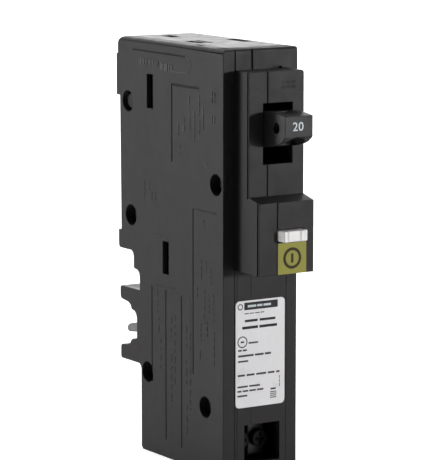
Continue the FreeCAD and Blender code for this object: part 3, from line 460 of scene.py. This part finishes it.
# Rows of bars: x, z, length, height, seed, small, big, gap.
BOLD_ROWS = (
    (7.4, -78.9, 10.6, 0.72, 7, 3.4, 5.6, 0.7),
    (6.5, -80.9, 12.1, 0.80, 23, 5.4, 7.0, 0.5))
FINE_ROWS = (
    (7.3, -76.75, 6.8, 0.28, 11, 0.9, 2.4, 0.3),
    (8.7, -85.45, 3.3, 0.50, 5, 3.0, 3.3, 0.4),
    (5.1, -87.45, 3.0, 0.52, 3, 1.0, 1.4, 0.35),
    (5.1, -89.1, 11.4, 0.60, 17, 3.0, 6.4, 0.45),
    (5.1, -90.7, 3.5, 0.52, 29, 3.4, 3.5, 0.4),
    (5.0, -94.85, 14.5, 0.58, 37, 2.0, 5.0, 0.6),
    (4.9, -98.2, 7.8, 0.52, 13, 2.6, 3.8, 0.5),
    (4.9, -99.5, 9.0, 0.52, 19, 1.2, 2.6, 0.4),
    (4.9, -100.9, 3.4, 0.52, 31, 3.2, 3.4, 0.4),
    (16.4, -99.8, 1.8, 0.55, 43, 1.7, 1.8, 0.4))


def header_bar(bm):
    label_box(bm, 7.2, 18.8, -75.7, -73.5)


def header_line(bm):
    """White bars on the front of the header bar."""
    left = CASE_LEFT + 8.4
    for start, end in bars(length=8.0, seed=17, small=1.8, big=3.4, gap=0.35):
        add_box(bm, left + start, left + end, RATING_FACE - 0.04, RATING_FACE - 0.01,
                LABEL_TOP - 74.95, LABEL_TOP - 74.3)


def bold_print(bm):
    label_rows(bm, BOLD_ROWS)


def fine_print(bm):
    """Two rings, the lower with a bar in it, rows of bars, a stack of lines and a side column."""
    label_ring(bm, 5.85, -74.65, inner=0.62, outer=0.92)
    label_ring(bm, 6.6, -85.0, inner=1.38, outer=1.72)
    label_box(bm, 6.0, 7.2, -85.25, -84.75)
    label_rows(bm, FINE_ROWS)
    for k in range(4):
        label_box(bm, 16.2, 18.4, -102.5 + 0.55 * k, -102.2 + 0.55 * k)
    for start, end in bars(length=3.4, seed=53, small=0.5, big=1.3, gap=0.25):
        label_box(bm, 19.4, 19.62, -99.4 + start, -99.4 + end)


def test_mark(bm):
    """A ring round an upright bar."""
    x, z = 2.65, 65.25
    depth = print_depth(TEST_FACE)
    add_ring(bm, x, z, 2.25, 3.1, *depth, count=56)
    add_box(bm, x - 0.42, x + 0.42, *depth, z - 1.35, z + 1.35)


add_part("label_header_bar", header_bar, "print_ink", bevel=0.01)
add_part("label_header_line", header_line, "print_white", bevel=0.005)
add_part("label_print_bold", bold_print, "print_ink", bevel=0.006)
add_part("label_print_fine", fine_print, "print_grey", bevel=0.006)
add_part("test_label_mark", test_mark, "print_olive", bevel=0.006)


# --------------------------------------------------------------- handle number
def ampere_number():
    """The number 20 on the handle tip, fitted from text to a measured box."""
    left, back, bottom = -0.92, -41.09, 102.4
    width, depth, height = 3.6, 0.04, 2.5
    text = bpy.data.curves.new("ampere_number", "FONT")
    text.body = "20"
    text.size = 4.2 * MM
    text.space_character = 1.06
    text.align_x = "CENTER"
    text.align_y = "CENTER"
    text.extrude = 0.03 * MM
    text.offset = 0.045 * MM
    holder = bpy.data.objects.new("tmp_number", text)
    bpy.context.scene.collection.objects.link(holder)
    bpy.context.view_layer.update()
    solid = holder.evaluated_get(bpy.context.evaluated_depsgraph_get())
    mesh = bpy.data.meshes.new_from_object(solid)
    bpy.data.objects.remove(holder)
    points = [v.co for v in mesh.vertices]
    low = Vector([min(p[i] for p in points) for i in range(3)])
    high = Vector([max(p[i] for p in points) for i in range(3)])
    for vertex in mesh.vertices:
        across, up, out = ((vertex.co[i] - low[i]) / (high[i] - low[i]) for i in range(3))
        vertex.co = Vector(((left + width * across) * MM, (back - depth * out) * MM,
                            (bottom + height * up) * MM))
    mesh.materials.clear()
    mesh.materials.append(MATERIALS["print_white"])
    number = bpy.data.objects.new("ampere_number", mesh)
    bpy.context.scene.collection.objects.link(number)
    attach(number, "handle")


ampere_number()


# --------------------------------------------------------------- moulded marks
SIDE_SINK = 0.02           # how far the side marks reach into the case

# Lines running back to front: y, z, length, height, seed, (small, big, gap), rise.
SIDE_LINES = (
    (23.0, 117.9, 10.4, 1.7, 11, (0.7, 1.9, 0.35), 0.14),
    (11.2, 117.2, 6.6, 2.1, 47, (1.0, 2.2, 0.40), 0.14))
# Columns running down, in groups: first seed, seed step, width, (small, big, gap), rise,
# then y, top z and length of each column.
SIDE_COLUMNS = (
    (13, 9, 0.7, (0.8, 2.4, 0.5), 0.12, (
        (1.4, 101.2, 3.2), (-1.6, 103.2, 4.4), (-4.6, 110.0, 3.0), (-4.8, 105.6, 6.0),
        (-7.4, 105.8, 9.0), (-10.0, 110.4, 5.6), (-10.2, 103.2, 4.0), (-12.2, 107.4, 6.6))),
    (71, 0, 0.7, (0.9, 2.6, 0.5), 0.11, ((0.6, 95.1, 1.2), (0.6, 92.9, 1.0))),
    (77, 0, 0.7, (0.9, 2.6, 0.5), 0.11, ((-13.6, 91.2, 1.6),)),
    (5, 0, 0.6, (1.4, 1.6, 0.5), 0.16, ((-17.0, 112.3, 3.4),)),
    (6, 0, 0.6, (1.2, 1.4, 0.5), 0.16, ((-18.4, 112.0, 3.0),)),
    (9, 0, 0.6, (1.0, 1.2, 0.4), 0.16, ((-17.0, 105.4, 2.4),)),
    (10, 0, 0.6, (0.8, 0.9, 0.4), 0.16, ((-18.4, 105.2, 2.0),)),
    (21, 0, 0.3, (5.0, 5.8, 0.3), 0.10, ((20.6, 82.6, 5.8),)),
    (33, 2, 0.7, (0.9, 1.2, 0.4), 0.12, ((18.2, 82.2, 2.4), (16.6, 79.4, 2.6))),
    (39, 0, 0.6, (0.8, 1.4, 0.4), 0.12, ((14.4, 79.6, 2.6),)),
    (41, 0, 0.6, (0.9, 2.6, 0.5), 0.11, ((-12.6, 74.6, 2.6),)),
    (7, 11, 0.6, (0.8, 2.2, 0.6), 0.10, (
        (-11.2, 63.0, 6.0), (-13.6, 62.8, 4.4), (-16.4, 60.8, 5.2), (-9.0, 54.4, 3.0),
        (-13.0, 54.0, 10.0), (-15.6, 52.0, 4.4), (-17.8, 53.6, 8.0), (-11.0, 44.0, 5.2),
        (-14.4, 45.0, 4.6), (-18.2, 42.6, 10.2), (-10.6, 35.8, 2.6))),
    (3, 13, 0.6, (0.9, 2.6, 1.1), 0.10, (
        (5.6, 43.0, 6.0), (5.4, 32.2, 16.0), (3.6, 44.0, 22.0), (-3.0, 42.0, 7.0),
        (-3.0, 31.6, 8.0), (-3.2, 18.2, 10.0), (-5.0, 40.0, 5.0), (-5.2, 29.0, 12.0))),
    (27, 3, 0.6, (0.9, 2.4, 1.0), 0.09, (
        (13.4, 50.4, 7.0), (12.6, 42.0, 5.0), (11.6, 35.6, 9.0))))


def side_marks(bm):
    """Raised bars on the left side."""
    inside = CASE_LEFT + SIDE_SINK
    for y, z, length, height, seed, spacing, rise in SIDE_LINES:
        for start, end in bars(length, seed, *spacing):
            add_box(bm, CASE_LEFT - rise, inside, y - end, y - start,
                    z - height / 2, z + height / 2)
    for first_seed, step, width, spacing, rise, columns in SIDE_COLUMNS:
        for i, (y, z, length) in enumerate(columns):
            for start, end in bars(length, first_seed + step * i, *spacing):
                add_box(bm, CASE_LEFT - rise, inside, y - width / 2, y + width / 2,
                        z - end, z - start)


def side_ribbon(bm, path, half, rise):
    """A raised line of half-width half on the left side, along (y, z) points."""
    outside, inside = CASE_LEFT - rise, CASE_LEFT + SIDE_SINK
    sections = []
    for i, (y, z) in enumerate(path):
        before, after = path[max(0, i - 1)], path[min(len(path) - 1, i + 1)]
        along = Vector((after[0] - before[0], after[1] - before[1])).normalized()
        across = Vector((-along.y, along.x)) * half
        sections.append([
            bm.verts.new((x * MM, (y + across.x * side) * MM, (z + across.y * side) * MM))
            for x, side in ((inside, -1), (outside, -1), (outside, 1), (inside, 1))])
    for near, far in zip(sections, sections[1:]):
        for i in range(4):
            j = (i + 1) % 4
            bm.faces.new((near[i], near[j], far[j], far[i]))
    bm.faces.new(sections[0][::-1])
    bm.faces.new(sections[-1])


def side_outline(bm):
    """Round front end of the top field, then its lower edge running back."""
    y, z, reach, height = -2.5, 118.71, 3.1, 2.4
    path = [(y - reach * math.sin(math.radians(a)), z + height * math.cos(math.radians(a)))
            for a in range(0, 181, 12)]
    path += [(y + 1.6 * k, z - height - 0.02 * k) for k in range(1, 6)]
    side_ribbon(bm, path, half=0.11, rise=0.10)
    bmesh.ops.recalc_face_normals(bm, faces=bm.faces)


# Field edges on the side: half width, rise, (y, z) points.
FIELD_EDGES = (
    (0.10, 0.12, [(16.1, 51.45), (12.0, 51.6), (8.0, 51.75), (3.4, 51.9)]),
    (0.08, 0.06, [(6.4, 50.7), (2.0, 50.75), (-3.9, 50.7), (-4.9, 50.4), (-5.4, 49.6),
                  (-5.45, 46.0), (-5.45, 28.0)]),
    (0.12, 0.14, [(14.9, 66.9), (11.6, 66.5), (7.2, 66.2)]))


def field_edges(bm):
    for half, rise, path in FIELD_EDGES:
        side_ribbon(bm, path, half, rise)
    bmesh.ops.recalc_face_normals(bm, faces=bm.faces)


def nose_marks(bm):
    """Two rows of three small pads high on the nose."""
    for x0, x1 in ((2.5, 3.7), (4.2, 5.6), (6.1, 7.4)):
        for bottom in (114.7, 113.4):
            add_box(bm, x0, x1, -30.39, -30.2, bottom, bottom + 0.8)


# The marks and the outline take the darker mark plastic, which is painted shade.
add_part("side_moulded_marks", side_marks, "mark_plastic_painted_shade", bevel=0.03)
add_part("side_moulded_outline", side_outline, "mark_plastic_painted_shade")
add_part("side_field_edges", field_edges, "case_plastic")
add_part("nose_moulded_marks", nose_marks, "mark_plastic_painted_shade", bevel=0.03)


# --------------------------------------------------------------------- lights
MID = Vector((0.0, -0.005, 0.07))   # middle of the breaker


def lamp(name, place, size, power, aim=MID, size_y=None, skip=(), only=()):
    """Area lamp, a disk unless size_y is given; it misses skip or lights only the named nodes."""
    light = bpy.data.lights.new(name, "AREA")
    light.energy = power
    light.shape = "RECTANGLE" if size_y else "DISK"
    light.size = size
    if size_y:
        light.size_y = size_y
    holder = bpy.data.objects.new(name, light)
    holder.location = place
    holder.rotation_euler = (Vector(aim) - Vector(place)).to_track_quat("-Z", "Y").to_euler()
    holder.visible_camera = False
    bpy.context.scene.collection.objects.link(holder)
    if skip:
        group = bpy.data.collections.new(name + "_flagged")
        for label in skip:
            group.objects.link(NODES[label])
        for entry in group.collection_objects:
            entry.light_linking.link_state = "EXCLUDE"
        holder.light_linking.receiver_collection = group
    if only:
        group = bpy.data.collections.new("lit_" + name)
        for piece in bpy.data.objects:
            if piece.type == "MESH" and piece.name.split(".")[0] in only:
                group.objects.link(piece)
        holder.light_linking.receiver_collection = group


lamp("key_front_right", MID + Vector((0.47, -0.88, 0.10)) * 1.3, size=0.12, power=10.0,
     skip=("load_screw", "neutral_screw", "load_lug", "neutral_lug", "terminal_barrier",
           "neutral_strap", "load_strap"))
lamp("fill_left_back", MID + Vector((-0.81, 0.575, 0.12)) * 1.2, size=0.5, power=12.2,
     skip=("handle",))
lamp("low_left", (-0.085, 0.035, 0.006), size=0.05, power=0.018, aim=(-0.0127, 0.0, 0.010),
     only=("left_cover",))
lamp("graze_left_back", MID + Vector((-0.59, 0.81, 0.12)) * 1.2, size=0.42, power=5.5,
     skip=("left_cover", "center_case", "right_base", "neutral_clip", "case_rivets"))
lamp("back_high", (-0.35, 1.85, 1.35), size=1.8, size_y=1.2, power=7.0)
lamp("edge_top_right", MID + Vector((0.53, -0.15, 0.84)) * 1.5, size=0.35, power=4.0)
lamp("low_bounce", (0.20, -0.30, 0.012), size=0.16, power=0.09, aim=(0.002, -0.036, 0.095))
lamp("button_side", (-0.60, -0.22, 0.10), size=0.25, power=2.0, aim=(0.004, -0.075, 0.055),
     only=("test_button",))
lamp("top_softbox", (0.0, 0.6, 2.4), size=2.6, power=30.0, aim=(0, 0.4, 0))
lamp("fill_right", MID + Vector((1.2, 0.42, 0.35)), size=0.6, power=9.0)
lamp("back_panel", (1.1, 1.74, 0.55), size=2.6, size_y=1.0, power=36.0, aim=(0, 0, 0.1))


# ------------------------------------------------------ world, floor and camera
def studio_world():
    """White to the camera, a faint cool light to everything else."""
    world = bpy.data.worlds.new("studio")
    bpy.context.scene.world = world
    world.use_nodes = True
    graph = Graph(world.node_tree)
    seen = graph.add("Background", {"Color": (1, 1, 1, 1), "Strength": 1.0})
    ambient = graph.add("Background", {"Color": (0.95, 0.97, 1.0, 1), "Strength": 0.03})
    rays = graph.add("LightPath")
    mixed = graph.add("MixShader", {0: rays.outputs["Is Camera Ray"], 1: ambient.outputs[0],
                                    2: seen.outputs[0]})
    graph.add("OutputWorld", {0: mixed.outputs[0]})


def pale_floor():
    """Wide disc that takes the contact shadow; its glow, seen by the camera only, hides its rim."""
    bm = bmesh.new()
    bmesh.ops.create_circle(bm, cap_ends=True, cap_tris=False, segments=96, radius=6.0)
    mesh = bpy.data.meshes.new("floor")
    bm.to_mesh(mesh)
    bm.free()
    floor = bpy.data.objects.new("floor", mesh)
    floor.location = (0, 0, -0.0002)
    bpy.context.scene.collection.objects.link(floor)
    made = bpy.data.materials.new("pale_floor")
    made.use_nodes = True
    graph = Graph(made.node_tree)
    diffuse = graph.add("BsdfDiffuse", {"Color": (0.55, 0.55, 0.55, 1)})
    # The strength set here is the socket's own value; the link below drives it.
    glow = graph.add("Emission", {"Color": (1, 1, 1, 1), "Strength": 0.75})
    rays = graph.add("LightPath")
    strength = graph.math("MULTIPLY", rays.outputs["Is Camera Ray"], 0.72)
    graph.link(strength, glow.inputs["Strength"])
    both = graph.add("AddShader", {0: diffuse.outputs[0], 1: glow.outputs[0]})
    graph.add("OutputMaterial", {0: both.outputs[0]})
    mesh.materials.append(made)


def studio_camera():
    """Long lens from the front left, a little above, looking slightly down."""
    scene = bpy.context.scene
    scene.view_settings.view_transform = "Standard"
    lens = bpy.data.cameras.new("camera")
    lens.sensor_fit = "AUTO"
    lens.sensor_width = 36.0
    lens.lens = 218.2
    lens.shift_x = -0.0006
    lens.clip_start = 0.05
    lens.clip_end = 30.0
    camera = bpy.data.objects.new("camera", lens)
    camera.location = (-0.4367, -0.6883, 0.19265)
    view = Vector((0.5278, 0.8360, -0.1500))
    camera.rotation_euler = view.to_track_quat("-Z", "Y").to_euler()
    scene.collection.objects.link(camera)
    scene.camera = camera


studio_world()
pale_floor()
studio_camera()
